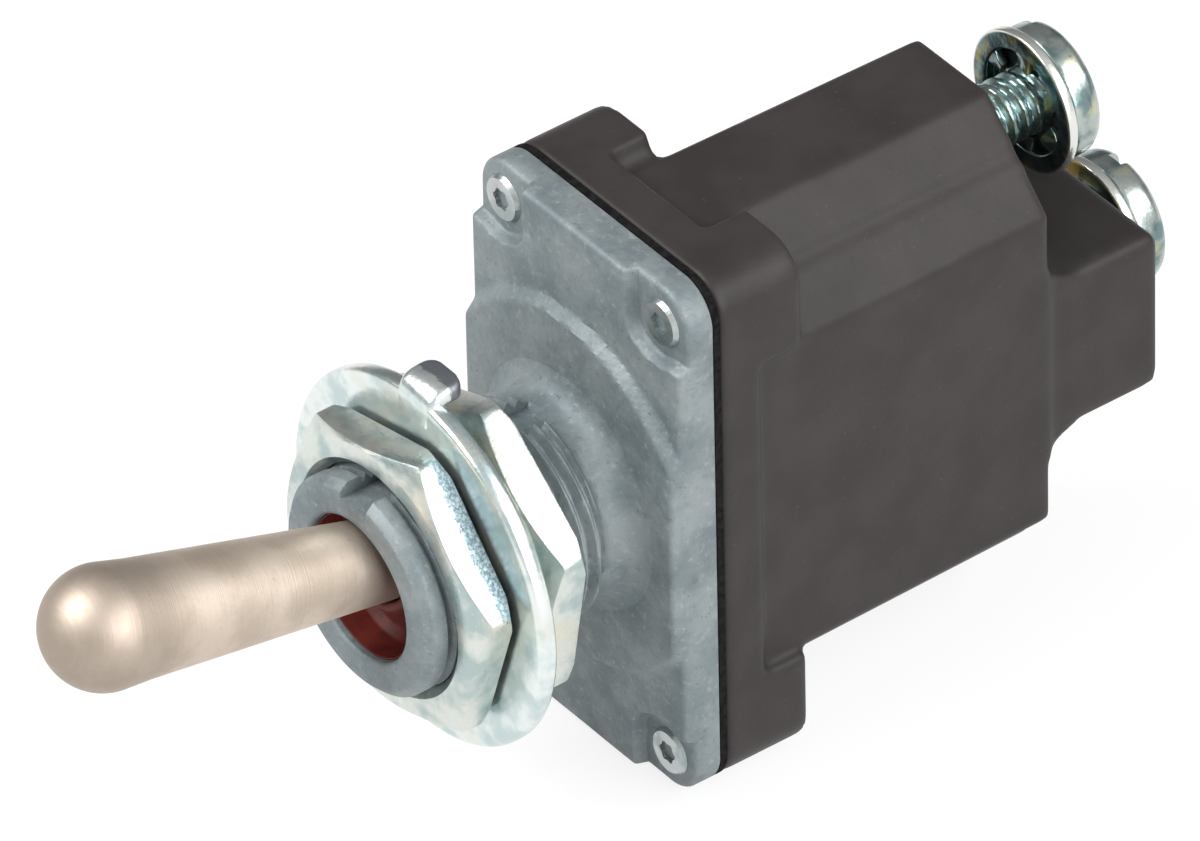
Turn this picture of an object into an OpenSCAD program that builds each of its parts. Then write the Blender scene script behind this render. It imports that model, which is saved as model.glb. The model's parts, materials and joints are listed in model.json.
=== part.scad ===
// Panel toggle switch: metal bat lever in a threaded bushing, moulded housing, two screw terminals.
// Frame: +Z up along the housing's long side, +Y from the panel into the housing, +X to the right.
// The origin is where the bushing's axis meets the mounting face.

/* [Cover plate and bushing] */
// Width of the cover plate and of the housing flange
plate_w = 16.7; // [16:0.1:20]
// Height of the cover plate and of the housing flange
plate_h = 31.1; // [30:0.1:36]
// Thickness of the plate around its raised boss
plate_t = 2.2; // [1.8:0.1:3]
// Height of the round boss above the plate
boss_rise = 0.6; // [0.3:0.1:1]
// Radius of the round boss before the plate's sides cut it
boss_r = 10.3; // [9.5:0.1:10.6]
// Outside diameter of the bushing's thread
thread_d = 11.9; // [11.8:0.01:12]
// Length of the bushing in front of the mounting face
bushing_len = 13.05; // [12.5:0.05:16]
// Radius of the bushing's mouth
mouth_r = 3.95; // [3.8:0.05:4.1]
// Width of the keyway along the top of the thread
keyway_w = 2.1; // [1.6:0.1:2.4]
// Depth of the keyway
keyway_depth = 0.9; // [0.6:0.05:1]

/* [Housing] */
// Thickness of the flange rim
flange_t = 2.55; // [2:0.05:3.2]
// Depth of the four corner ears that take the rivets
ear_t = 5.1; // [4:0.1:6]
// Depth of the housing from its flange face to its rear face
body_depth = 21.1; // [20.6:0.1:24]
// How far the housing's sides stand in from the flange at the rear face
body_side_step = 0.86; // [0.7:0.02:1.1]
// How far the housing's ends stand in from the flange at the rear face
body_end_step = 1.2; // [1:0.05:1.5]
// Draft of the housing's walls in degrees
body_draft = 0.72; // [0.3:0.02:1]
// How far the centre block stands behind the rear face
block_depth = 7.1; // [5.5:0.1:8]
// Height of the centre block
block_h = 9.6; // [9:0.1:10.4]

/* [Lever and mechanism] */
// Angle of the lever above the bushing's axis at rest
tilt = 13.9; // [11:0.1:14]
// Distance from the pivot to the centre of the lever's ball end
lever_reach = 22; // [20:0.1:26]
// Radius of the lever's ball end
ball_r = 3.2; // [2.8:0.05:3.4]
// Depth of the pivot behind the bushing's front
pivot_depth = 6.25; // [6:0.05:6.5]
// Diameter of the pivot pin
pivot_pin_d = 2; // [1.6:0.1:2.1]
// Length of the lever behind its pivot
lever_tail = 9; // [8:0.1:9.4]
// Rocker movement as a share of the lever's movement
rocker_share = 0.5; // [0.45:0.01:0.55]

/* [Terminals] */
// Distance of an outer terminal screw's axis from the housing's end
terminal_edge = 4.35; // [4.2:0.05:4.5]
// Diameter of the terminal screw's thread
screw_d = 3.5; // [3.2:0.1:3.6]
// Diameter of the terminal screw's head
head_d = 7.2; // [6.4:0.1:7.4]
// Height of the terminal screw's head
head_h = 1.85; // [1.2:0.05:2]
// Length of the screw under its head
screw_len = 9.5; // [9:0.1:10.5]
// Gap from the outer terminals to the screw's washer, screw backed out
outer_gap = 3.85; // [2.5:0.05:4.2]
// Gap from the middle terminal to the screw's washer, screw backed out
middle_gap = 0.9; // [0.8:0.05:3]

/* [Mounting hardware] */
// Distance across the flats of the mounting nuts
nut_af = 15; // [14.2:0.1:16]
// Thickness of the mounting nuts
nut_t = 2.1; // [1.6:0.05:2.2]
// Front face of the front nut, measured from the mounting face
nut_front = 11.65; // [11.6:0.05:11.8]
// Radius of the key ring
ring_r = 10.1; // [9:0.1:11]
// Thickness of the key ring
ring_t = 1.05; // [0.8:0.05:1.15]
// Width of the key ring's bent tab
tab_w = 2.8; // [2:0.1:3.4]

/* [Hidden] */
round_fn = 64;
eps = 0.01;
thread_r = thread_d / 2;
running_gap = 0.05;
insert_gap = 0.02;
// Stations along Y
face_y = 0;
plate_front = boss_rise;
plate_back = plate_front + plate_t;
gasket_t = 0.4;
flange_front = plate_back + gasket_t;
flange_back = flange_front + flange_t;
ear_back = flange_front + ear_t;
body_rear = flange_front + body_depth;
block_rear = body_rear + block_depth;
mouth_y = -bushing_len;
pivot_y = mouth_y + pivot_depth;
// Cover plate
corner_r = 2.15;
corner_steps = 8;
pocket_x = 4;
pocket_h = 4.15;
pocket_z = plate_h / 2 - pocket_h;
pocket_r = 1.5;
pocket_depth = 0.65;
edge_bevel = 0.25;
rivet_side = 2.03;
rivet_end = 2.13;
rivet_x = plate_w / 2 - rivet_side;
rivet_z = plate_h / 2 - rivet_end;
mouth_chamfer = 0.5;
land_len = 2.15;
bore_step = 0.45;
rear_bore_step = 1.05;
bore_r = mouth_r + bore_step;
rear_bore_r = mouth_r + rear_bore_step;
rear_bore_y = -1;
slot_wall = 0.95;
slot_r = thread_r - slot_wall;
keyway_end = -1.5;
keyway_floor = thread_r - keyway_depth;
// Rivets
rivet_shank_r = 0.9;
rivet_head_r = 1.3;
rivet_head_t = 0.25;
rivet_head_cut = 0.15;
rivet_lobe_depth = 1.2;
rivet_floor = plate_front + pocket_depth;
rivet_star_r = 0.62;
rivet_lobe_r = 0.2;
rivet_lobes = 6;
// Housing body profile, one quarter at the rear face
body_w = plate_w - 2 * body_side_step;
body_h = plate_h - 2 * body_end_step;
side_in = 4.93;
crease_in = [1.65, 3.24];
bulge_in = [1.78, 2.87];
valley_in = [2.58, 2.42];
shoulder_in = [2.72, 2.06];
top_in = 4.76;
body_root = 1.6;
body_corner = [body_w, body_h] / 2;
side_z = body_h / 2 - side_in;
crease = body_corner - crease_in;
bulge = body_corner - bulge_in;
valley = body_corner - valley_in;
shoulder = body_corner - shoulder_in;
top_x = body_w / 2 - top_in;
ear_x = 3.8;
ear_fillet = 1.1;
ear_root = 2;
ear_land = 0.6;
ear_side = 0.4;
ear_lift = 0.2;
body_front = flange_front + body_root;
body_run = body_rear - body_front;
draft_rise = body_run * tan(body_draft);
block_step = 0.24;
block_w = body_w - 2 * block_step;
block_edge_r = 0.76;
block_rear_r = 0.5;
block_top_r = 0.8;
block_low_r = 1.2;
block_fillet = 1.8;
side_wall = 2.09;
end_wall = 4.95;
cavity_depth = 13.8;
cavity_w = body_w - 2 * side_wall;
cavity_h = body_h - 2 * end_wall;
cavity_floor = flange_front + cavity_depth;
cavity_end_w = 6;
thin_wall = 2.15;
cavity_end_h = body_h - 2 * thin_wall;
cavity_r = 0.8;
// Lever, measured along its own axis from the pivot
mouth_s = pivot_depth / cos(tilt);
swing_gap = 0.13;
mouth_lever_r = (mouth_r - pivot_depth * tan(tilt)) * cos(tilt) - swing_gap;
waist_s = 3.6;
waist_cut = 0.15;
hub_rise = 0.55;
waist_r = mouth_lever_r - waist_cut;
hub_r = waist_r + hub_rise;
tail_edge = 0.3;
hub_lead = 0.5;
hub_s = 2.2;
tail_r = 2.2;
plunger_r = 1.5;
plunger_bore_r = plunger_r + running_gap;
plunger_in = 3.2;
plunger_s = 6;
nose_reach = 4.1;
nose_s = lever_tail + nose_reach;
pin_half = slot_r - running_gap;
pin_gap = 0.04;
pin_slot_r = pivot_pin_d / 2 + insert_gap;
// Seal
seal_front = mouth_y + land_len;
seal_t = 1.2;
seal_lip = 0.85;
seal_lip_s = 4.9;
seal_root_s = 2.6;
seal_lip_edge = 0.5;
seal_lip_gap = 0.1;
// Spring
spring_r = 1.32;
spring_wire = 0.34;
spring_turns = 4;
spring_steps = 64;
// Rocker, in its own neutral frame around its pin
rocker_depth = 17.8;
rocker_y = pivot_y + rocker_depth;
rocker_w = 5.2;
rocker_t = 0.8;
rocker_lug_t = 0.6;
rocker_tilt = tilt * rocker_share;
track_gap = 0.05;
track_over = 1;
track_steps = 16;
terminal_pitch = body_h / 2 - terminal_edge;
contact_in = 3.2;
contact_z = terminal_pitch - contact_in;
contact_r = 1.3;
contact_t = 0.75;
wing_half = 1.4;
wing_in = contact_z - wing_half;
wing_out = contact_z + wing_half;
rocker_pin_r = 0.6;
lug_r = 1.3;
lug_flare = 0.6;
pin_end = 0.1;
// Terminals
closed_gap = 0.05;
fixed_contact_t = 0.8;
arm_t = 1;
arm_front = cavity_floor - arm_t;
fixed_contact_front = arm_front - fixed_contact_t;
wing_face = fixed_contact_front - closed_gap - rocker_y - contact_t - rocker_t;
arm_w = 5.2;
arm_back = 4.8;
arm_over = 2;
arm_in = terminal_pitch - arm_back;
arm_out = terminal_pitch + arm_over;
terminal_boss_r = 3;
terminal_plate_t = 1;
terminal_plate_w = 6.8;
terminal_plate_h = 6.4;
common_plate_w = 10;
common_plate_h = 7.2;
post_w = 3.7;
post_h = 3;
post_lead = 1.1;
post_front = rocker_y - post_lead;
screw_r = screw_d / 2;
screw_hole_r = screw_r + running_gap;
blind_depth = 9.9;
washer_t = 0.9;
washer_band_t = 0.55;
washer_over = 0.3;
washer_r = head_d / 2 + washer_over;
washer_band = 1.05;
tooth_gap = 0.3;
tooth_w = 1.2;
screw_tooth_twist = 17;
washer_teeth = 6;
tooth_twist = 22;
slot_w = 1;
slot_depth = 0.75;
head_edge = 0.55;
// Mounting hardware
nut_chamfer = 27;
nut_face_cut = 0.15;
nut_face_r = nut_af / 2 - nut_face_cut;
nut_hole_r = thread_r + running_gap;
nut_sink = 0.45;
nut_back_edge = 0.3;
nut_back_cut = 0.45;
nut_gap = 0.26;
front_nut_turn = 72;
rear_nut_turn = 80;
ring_front = -nut_front + nut_t + nut_gap;
ring_back = ring_front + ring_t;
ring_edge = 0.3;
tab_rise = 1;
tab_root = 1;
key_root = 1;
tab_out = ring_r + tab_rise;
tab_t = 1.2;
tab_len = 2.2;
tab_bend_r = 0.6;
key_clear = 0.1;
star_washer_t = 0.6;
star_gap = 1.25;
star_inset = 0.2;
star_tooth_w = 1.4;
star_in = nut_hole_r + running_gap;
star_out = nut_af / 2 - star_inset;
star_band = 0.55;
star_teeth = 10;
rear_nut_front = ring_back + star_gap;

// ---------- helpers ----------

function arc(centre, r, from, to, steps) =
    [for (i = [0:steps]) let(a = from + (to - from) * i / steps) centre + r * [cos(a), sin(a)]];
function round_box(w, h, r, steps) = concat(
    arc([w / 2 - r, h / 2 - r], r, 0, 90, steps),
    arc([r - w / 2, h / 2 - r], r, 90, 180, steps),
    arc([r - w / 2, r - h / 2], r, 180, 270, steps),
    arc([w / 2 - r, r - h / 2], r, 270, 360, steps));
function turned(p, a) = [p[0] * cos(a) - p[1] * sin(a), p[0] * sin(a) + p[1] * cos(a)];
function backwards(list) = [for (i = [len(list) - 1:-1:0]) list[i]];
function flip_x(list) = [for (p = list) [-p[0], p[1]]];
function flip_z(list) = [for (p = list) [p[0], -p[1]]];
function bezier(a, b, c, steps) =
    [for (i = [0:steps]) let(t = i / steps) (1 - t) * (1 - t) * a + 2 * t * (1 - t) * b + t * t * c];

// A front view, X to the right and Z up, given depth along Y
module slab_y(y0, y1, grow = 1) {
    translate([0, y1, 0])
        rotate([90, 0, 0])
            linear_extrude(height = y1 - y0, scale = grow)
                children();
}

// A side view, Y then Z, given width along X
module slab_x(w) {
    translate([-w / 2, 0, 0])
        rotate([90, 0, 90])
            linear_extrude(height = w)
                children();
}

// A top view, X then Y, given height along Z
module slab_z(h) {
    translate([0, 0, -h / 2])
        linear_extrude(height = h)
            children();
}

// A rod along Y; r0 is its radius at y0 and r1 at y1
module rod_y(y0, y1, r0, r1 = undef) {
    translate([0, y1, 0])
        rotate([90, 0, 0])
            cylinder(h = y1 - y0, r1 = is_undef(r1) ? r0 : r1, r2 = r0, $fn = round_fn);
}

module rod_x(w, r) {
    translate([-w / 2, 0, 0])
        rotate([0, 90, 0])
            cylinder(h = w, r = r, $fn = round_fn);
}

// A profile of [radius, distance forward] turned around the lever's own axis
module turned_forward(points) {
    rotate([90, 0, 0])
        rotate_extrude($fn = round_fn)
            polygon(points);
}

module at_lever() {
    translate([0, pivot_y, 0])
        rotate([-tilt, 0, 0])
            children();
}

module both_ends() {
    children();
    mirror([0, 0, 1])
        children();
}

module four_corners() {
    for (sx = [-1, 1])
        for (sz = [-1, 1])
            translate([sx * rivet_x, 0, sz * rivet_z])
                children();
}

module plate_outline() {
    polygon(round_box(plate_w, plate_h, corner_r, corner_steps));
}

// ---------- cover plate, gasket, rivets ----------

// The plan of the four sunk corners around the rivets
module corner_pockets() {
    far = plate_h;
    for (sx = [-1, 1])
        for (sz = [-1, 1])
            scale([sx, sz])
                polygon(concat([[far, pocket_z], [far, far], [pocket_x, far]],
                    arc([pocket_x + pocket_r, pocket_z + pocket_r], pocket_r, 180, 270, corner_steps)));
}

module bushing_solid() {
    rod_y(mouth_y + mouth_chamfer, plate_back, thread_r);
    rod_y(mouth_y, mouth_y + mouth_chamfer, thread_r - mouth_chamfer, thread_r);
}

module bushing_bore() {
    rod_y(mouth_y - eps, seal_front + eps, mouth_r);
    rod_y(seal_front, rear_bore_y + eps, bore_r);
    rod_y(rear_bore_y, plate_back + eps, rear_bore_r);
    // Grooves that let the pivot pin slide in from behind
    translate([0, pivot_y, 0])
        rod_x(2 * slot_r, pin_slot_r);
    translate([-slot_r, pivot_y, -pin_slot_r])
        cube([2 * slot_r, plate_back - pivot_y + eps, 2 * pin_slot_r]);
}

module keyway() {
    translate([-keyway_w / 2, mouth_y - eps, keyway_floor])
        cube([keyway_w, keyway_end - mouth_y, thread_r]);
}

module cover_plate() {
    color([0.56, 0.6, 0.62])
        difference() {
            union() {
                slab_y(plate_front, plate_back)
                    plate_outline();
                intersection() {
                    rod_y(face_y, plate_back, boss_r);
                    slab_y(face_y, plate_back)
                        plate_outline();
                }
                bushing_solid();
            }
            slab_y(face_y - eps, rivet_floor)
                corner_pockets();
            four_corners()
                rod_y(face_y, plate_back + eps, rivet_shank_r + insert_gap);
            bushing_bore();
            keyway();
        }
}

module gasket() {
    color([0.08, 0.08, 0.08])
        difference() {
            slab_y(plate_back, flange_front)
                plate_outline();
            rod_y(plate_back - eps, flange_front + eps, rear_bore_r + 0.4);
            four_corners()
                rod_y(plate_back - eps, flange_front + eps, rivet_shank_r + insert_gap);
        }
}

module rivet() {
    difference() {
        union() {
            rod_y(rivet_floor - rivet_head_t, rivet_floor, rivet_head_r - rivet_head_cut, rivet_head_r);
            rod_y(rivet_floor - eps, ear_back + eps, rivet_shank_r);
            rod_y(ear_back, ear_back + rivet_head_t, rivet_head_r, rivet_head_r - rivet_head_cut);
        }
        // Six-lobe hollow through the rivet
        rod_y(rivet_floor - 1, ear_back + 1, rivet_star_r - rivet_lobe_r / 2);
        for (i = [1:rivet_lobes])
            rotate([0, i * 360 / rivet_lobes, 0])
                translate([rivet_star_r - rivet_lobe_r, 0, 0])
                    rod_y(rivet_floor - 1, rivet_floor + rivet_lobe_depth, rivet_lobe_r);
    }
}

module cover_rivets() {
    color([0.62, 0.64, 0.62])
        four_corners()
            rivet();
}

// ---------- housing ----------

// One quarter of the rear outline, from the side up to the flat top
function quarter() = concat([[body_w / 2, side_z]], bezier(crease, bulge, valley, 5),
    [shoulder, [top_x, body_h / 2]]);
function outline() = concat(quarter(), backwards(flip_x(quarter())),
    flip_x(flip_z(quarter())), backwards(flip_z(quarter())));

module body_shell() {
    slab_y(body_front, body_rear, [1 + 2 * draft_rise / body_w, 1 + 2 * draft_rise / body_h])
        polygon(outline());
}

module ears() {
    slab_y(flange_front, ear_back)
        intersection() {
            plate_outline();
            for (sx = [-1, 1])
                for (sz = [-1, 1])
                    scale([sx, sz])
                        polygon(concat([[plate_w, plate_h], [ear_x, plate_h]],
                            arc([ear_x - ear_fillet, body_h / 2 + ear_fillet], ear_fillet,
                                360, 270, corner_steps),
                            [[ear_x - ear_fillet, body_h / 2 - ear_root],
                            [crease[0], crease[1] - ear_land], [body_w / 2 - ear_side, side_z + ear_lift],
                            [plate_w, side_z + ear_lift]]));
        }
}

module centre_block() {
    side = block_w / 2 - block_rear_r;
    back = block_rear - block_rear_r;
    top = block_h / 2 - block_top_r;
    low = block_h / 2 - block_low_r;
    foot = block_h / 2 - block_fillet;
    foot_end = block_h / 2 + block_fillet;
    intersection() {
        slab_y(body_rear - 2, block_rear)
            polygon(round_box(block_w, block_h, block_edge_r, corner_steps));
        // Rounded rear corners, seen from above and from the side
        slab_z(2 * block_h)
            polygon(concat([[block_w / 2, body_front]],
                arc([side, back], block_rear_r, 0, 90, corner_steps),
                arc([-side, back], block_rear_r, 90, 180, corner_steps),
                [[-block_w / 2, body_front]]));
        slab_x(2 * block_w)
            polygon(concat([[body_front, -block_h / 2]],
                arc([block_rear - block_low_r, -low], block_low_r, 270, 360, corner_steps),
                arc([block_rear - block_top_r, top], block_top_r, 0, 90, corner_steps),
                [[body_front, block_h / 2]]));
    }
    // Fillets where the block leaves the rear face
    both_ends()
        slab_x(block_w)
            polygon(concat([[body_rear - eps, foot], [body_rear - eps, foot_end]],
                arc([body_rear + block_fillet, foot_end], block_fillet, 180, 270, corner_steps),
                [[body_rear + block_fillet, foot]]));
}

module cavity() {
    slab_y(flange_front - eps, cavity_floor)
        polygon(round_box(cavity_w, cavity_h, cavity_r, 4));
    slab_y(flange_front - eps, cavity_floor)
        polygon(round_box(cavity_end_w, cavity_end_h, cavity_r, 4));
}

// Moulded pad that stops the rocker's lower contact where this type has no third terminal
module rest_pad() {
    translate([0, 0, -contact_z])
        rod_y(fixed_contact_front, cavity_floor + eps, contact_r);
}

module housing() {
    color([0.22, 0.19, 0.19]) {
        rest_pad();
        difference() {
            union() {
                slab_y(flange_front, flange_back)
                    plate_outline();
                ears();
                body_shell();
                centre_block();
            }
            cavity();
            four_corners()
                rod_y(flange_front - eps, ear_back + eps, rivet_shank_r + insert_gap);
            outer_terminal_room(insert_gap);
            common_terminal_room(insert_gap);
        }
    }
}

// ---------- lever, pivot, seal ----------

function lever_side() = concat(
    [[mouth_lever_r, mouth_s]],
    arc([0, lever_reach], ball_r, -3, 90, 20));

module lever_bar() {
    turned_forward(concat(
        [[0, -lever_tail], [tail_r - tail_edge, -lever_tail], [tail_r, tail_edge - lever_tail]],
        [[tail_r, -hub_s - hub_lead], [hub_r, -hub_s], [hub_r, hub_s], [waist_r, waist_s]],
        lever_side()));
}

module toggle_lever() {
    color([0.78, 0.73, 0.67])
        at_lever()
            difference() {
                lever_bar();
                rod_x(2 * hub_r + 1, pivot_pin_d / 2 + pin_gap);
                rod_y(plunger_in, lever_tail + eps, plunger_bore_r);
            }
}

module pivot_pin() {
    color([0.7, 0.7, 0.68])
        translate([0, pivot_y, 0])
            rod_x(2 * pin_half, pivot_pin_d / 2);
}

module boot_seal() {
    lip_r = mouth_lever_r + seal_lip;
    color([0.5, 0.12, 0.1])
        difference() {
            union() {
                rod_y(seal_front + insert_gap, seal_front + seal_t, bore_r - insert_gap);
                intersection() {
                    at_lever()
                        turned_forward([[0, seal_root_s], [lip_r, seal_root_s],
                            [lip_r, seal_lip_s - seal_lip_edge], [lip_r - seal_lip_edge, seal_lip_s],
                            [0, seal_lip_s]]);
                    rod_y(mouth_y, seal_front + seal_t, mouth_r - seal_lip_gap);
                }
            }
            at_lever()
                turned_forward([[0, 0], [hub_r + insert_gap, 0], [hub_r + insert_gap, hub_s + insert_gap],
                    [waist_r + insert_gap, waist_s], [mouth_lever_r + insert_gap, mouth_s],
                    [mouth_lever_r + insert_gap, mouth_s + 1], [0, mouth_s + 1]]);
        }
}

// ---------- plunger, spring, rocker ----------

module plunger() {
    color([0.86, 0.84, 0.76])
        at_lever()
            union() {
                rod_y(plunger_s, nose_s, plunger_r);
                translate([0, nose_s, 0])
                    sphere(r = plunger_r, $fn = round_fn);
            }
}

module plunger_spring() {
    inner = spring_r - spring_wire;
    color([0.72, 0.72, 0.74])
        at_lever()
            translate([0, plunger_s - running_gap, 0])
                rotate([90, 0, 0])
                    linear_extrude(height = plunger_s - plunger_in - 2 * running_gap,
                        twist = -360 * spring_turns, slices = spring_steps)
                        polygon(concat(arc([0, 0], spring_r, 0, 180, 10),
                            backwards(arc([0, 0], inner, 0, 180, 10))));
}

// Centre of the plunger's nose as seen from the rocker, for a lever angle a from the middle
function nose_at(a) = turned([pivot_y - rocker_y, 0] + nose_s * [cos(a), sin(a)], a * rocker_share);
function nose_dir(a) = let(d = nose_at(a + 0.5) - nose_at(a - 0.5)) [d[1], -d[0]] / norm(d);
function track(away) = [for (i = [0:track_steps])
    let(a = (tilt + track_over) * (2 * i / track_steps - 1)) nose_at(a) + away * nose_dir(a)];
function from_rest(p) = turned(p, -rocker_tilt);

// Corners of the lower wing, leg and rim, front side first, then the back side
function rocker_rim() = track(plunger_r + track_gap)[0] - [0, rocker_t];
function wing_outer() = [from_rest([wing_face, -wing_out]), from_rest([wing_face, -wing_in]), rocker_rim()];
function wing_inner() = [from_rest([wing_face + rocker_t, rocker_t - wing_in]),
    from_rest([wing_face + rocker_t, -wing_out])];

module rocker_strip() {
    polygon(concat(wing_outer(), track(plunger_r + track_gap), backwards(flip_z(wing_outer())),
        backwards(flip_z(wing_inner())), backwards(track(plunger_r + track_gap + rocker_t)), wing_inner()));
}

module at_rocker() {
    translate([0, rocker_y, 0])
        rotate([rocker_tilt, 0, 0])
            children();
}

module rocker() {
    saddle_back = track(plunger_r + track_gap + rocker_t);
    lug_top = saddle_back[track_steps / 2][0] - rocker_t / 2;
    color([0.8, 0.62, 0.35])
        at_rocker()
            difference() {
                union() {
                    slab_x(rocker_w)
                        rocker_strip();
                    for (side = [-1, 1])
                        translate([side * (rocker_w - rocker_lug_t) / 2, 0, 0])
                            slab_x(rocker_lug_t) {
                                circle(r = lug_r, $fn = round_fn);
                                polygon([[lug_top, -lug_r - lug_flare], [0, -lug_r], [0, lug_r],
                                    [lug_top, lug_r + lug_flare]]);
                            }
                }
                rod_x(2 * rocker_w, rocker_pin_r + pin_gap);
            }
}

module rocker_contact() {
    rotate([-rocker_tilt, 0, 0])
        translate([0, 0, -contact_z])
            rod_y(wing_face + rocker_t, wing_face + rocker_t + contact_t, contact_r);
}

module rocker_contacts() {
    color([0.85, 0.85, 0.87])
        at_rocker()
            both_ends()
                rocker_contact();
}

module rocker_pin() {
    color([0.7, 0.7, 0.68])
        translate([0, rocker_y, 0])
            rod_x(rocker_w + 2 * pin_end, rocker_pin_r);
}

// ---------- terminals ----------

// The outer terminal's solid; room makes it larger on every side for the housing's pocket
module outer_terminal_room(room) {
    translate([0, 0, terminal_pitch]) {
        slab_y(body_rear - terminal_plate_t - room, body_rear + (room > 0 ? 1 : 0))
            square([terminal_plate_w + 2 * room, terminal_plate_h + 2 * room], center = true);
        rod_y(arm_front, body_rear - terminal_plate_t, terminal_boss_r + room);
    }
}

module outer_terminal() {
    color([0.83, 0.68, 0.38])
        difference() {
            union() {
                outer_terminal_room(0);
                translate([-arm_w / 2, arm_front, arm_in])
                    cube([arm_w, arm_t, arm_out - arm_in]);
            }
            translate([0, 0, terminal_pitch])
                rod_y(arm_front - 1, body_rear + 1, screw_hole_r);
        }
}

module top_terminal() {
    outer_terminal();
}

module common_terminal_room(room) {
    slab_y(block_rear - terminal_plate_t - room, block_rear + (room > 0 ? 1 : 0))
        square([common_plate_w + 2 * room, common_plate_h + 2 * room], center = true);
    rod_y(cavity_floor, block_rear - terminal_plate_t, terminal_boss_r + room);
}

module common_terminal() {
    color([0.83, 0.68, 0.38])
        difference() {
            union() {
                common_terminal_room(0);
                slab_y(post_front, cavity_floor + 1)
                    square([post_w, post_h], center = true);
            }
            rod_y(block_rear - blind_depth, block_rear + 1, screw_hole_r);
            translate([0, rocker_y, 0])
                rod_x(2 * rocker_w, rocker_pin_r + insert_gap);
        }
}

module fixed_contacts() {
    color([0.85, 0.85, 0.87])
        translate([0, 0, contact_z])
            rod_y(fixed_contact_front, arm_front, contact_r);
}

// The screw's own frame: the terminal's face is at y = 0 and gap is how far it is backed out
module terminal_screw(gap) {
    seat = gap + washer_t;
    color([0.7, 0.72, 0.66])
        difference() {
            union() {
                rod_y(seat - screw_len, seat + eps, screw_r);
                rod_y(seat, seat + head_h - head_edge, head_d / 2);
                rod_y(seat + head_h - head_edge, seat + head_h, head_d / 2, head_d / 2 - head_edge);
            }
            translate([-slot_w / 2, seat + head_h - slot_depth, -head_d])
                cube([slot_w, head_h, 2 * head_d]);
        }
}

module screw_washer(gap) {
    tooth_from = screw_r + tooth_gap;
    tooth_to = washer_r - washer_band / 2;
    color([0.35, 0.5, 0.5])
        union() {
            difference() {
                rod_y(gap + washer_t - washer_band_t, gap + washer_t, washer_r);
                rod_y(gap, gap + washer_t + eps, washer_r - washer_band);
            }
            for (i = [1:washer_teeth])
                rotate([0, i * 360 / washer_teeth, 0])
                    translate([tooth_from, gap + washer_t / 2, 0])
                        rotate([screw_tooth_twist, 0, 0])
                            translate([0, -washer_band_t / 2, -tooth_w / 2])
                                cube([tooth_to - tooth_from, washer_band_t, tooth_w]);
        }
}

module top_screw() {
    translate([0, body_rear, terminal_pitch])
        terminal_screw(outer_gap);
}

module middle_screw() {
    translate([0, block_rear, 0])
        terminal_screw(middle_gap);
}

module top_screw_washer() {
    translate([0, body_rear, terminal_pitch])
        screw_washer(outer_gap);
}

module middle_screw_washer() {
    translate([0, block_rear, 0])
        screw_washer(middle_gap);
}

// ---------- mounting hardware ----------

module mounting_nut(front, turn) {
    corner = nut_af / 2 / cos(30);
    drop = (corner - nut_face_r) * tan(nut_chamfer);
    difference() {
        intersection() {
            slab_y(front, front + nut_t)
                rotate(turn)
                    circle(r = corner, $fn = 6);
            union() {
                rod_y(front, front + drop, nut_face_r, corner + eps);
                rod_y(front + drop - eps, front + nut_t - nut_back_edge + eps, corner + eps);
                rod_y(front + nut_t - nut_back_edge, front + nut_t, corner + eps, corner - nut_back_cut);
            }
        }
        rod_y(front - eps, front + nut_t + eps, nut_hole_r);
        rod_y(front - eps, front + nut_sink, nut_hole_r + nut_sink, nut_hole_r);
    }
}

module front_nut() {
    color([0.72, 0.73, 0.66])
        mounting_nut(-nut_front, front_nut_turn);
}

module rear_nut() {
    color([0.72, 0.73, 0.66])
        mounting_nut(rear_nut_front, rear_nut_turn);
}

module key_ring() {
    key_top = nut_hole_r + key_root;
    color([0.66, 0.7, 0.72])
        union() {
            difference() {
                union() {
                    rod_y(ring_front, ring_front + ring_edge, ring_r - ring_edge, ring_r);
                    rod_y(ring_front + ring_edge, ring_back - ring_edge, ring_r);
                    rod_y(ring_back - ring_edge, ring_back, ring_r, ring_r - ring_edge);
                }
                rod_y(ring_front - eps, ring_back + eps, nut_hole_r);
            }
            // Tongue that runs in the bushing's keyway
            translate([key_clear - keyway_w / 2, ring_front, keyway_floor + key_clear])
                cube([keyway_w - 2 * key_clear, ring_t, key_top - keyway_floor]);
            // Locating tab, bent towards the panel
            slab_x(tab_w)
                polygon(concat([[ring_back, ring_r - tab_root], [ring_back, tab_out - tab_t],
                        [ring_front + tab_len, tab_out - tab_t]],
                    [[ring_front + tab_len, tab_out]],
                    arc([ring_front + tab_bend_r, tab_out - tab_bend_r], tab_bend_r, 90, 180, 6),
                    [[ring_front, ring_r - tab_root]]));
        }
}

module star_washer() {
    middle = ring_back + star_gap / 2;
    color([0.6, 0.62, 0.6])
        union() {
            difference() {
                rod_y(middle - star_washer_t / 2, middle + star_washer_t / 2, star_out);
                rod_y(middle - star_washer_t, middle + star_washer_t, star_out - star_band);
            }
            for (i = [1:star_teeth])
                rotate([0, i * 360 / star_teeth, 0])
                    translate([star_in, middle, 0])
                        rotate([tooth_twist, 0, 0])
                            translate([0, -star_washer_t / 2, -star_tooth_w / 2])
                                cube([star_out - star_band / 2 - star_in, star_washer_t, star_tooth_w]);
        }
}

cover_plate();
boot_seal();
pivot_pin();
toggle_lever();
plunger();
plunger_spring();
gasket();
cover_rivets();
housing();
rocker();
rocker_contacts();
rocker_pin();
common_terminal();
top_terminal();
fixed_contacts();
top_screw();
middle_screw();
top_screw_washer();
middle_screw_washer();
front_nut();
key_ring();
star_washer();
rear_nut();
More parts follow.
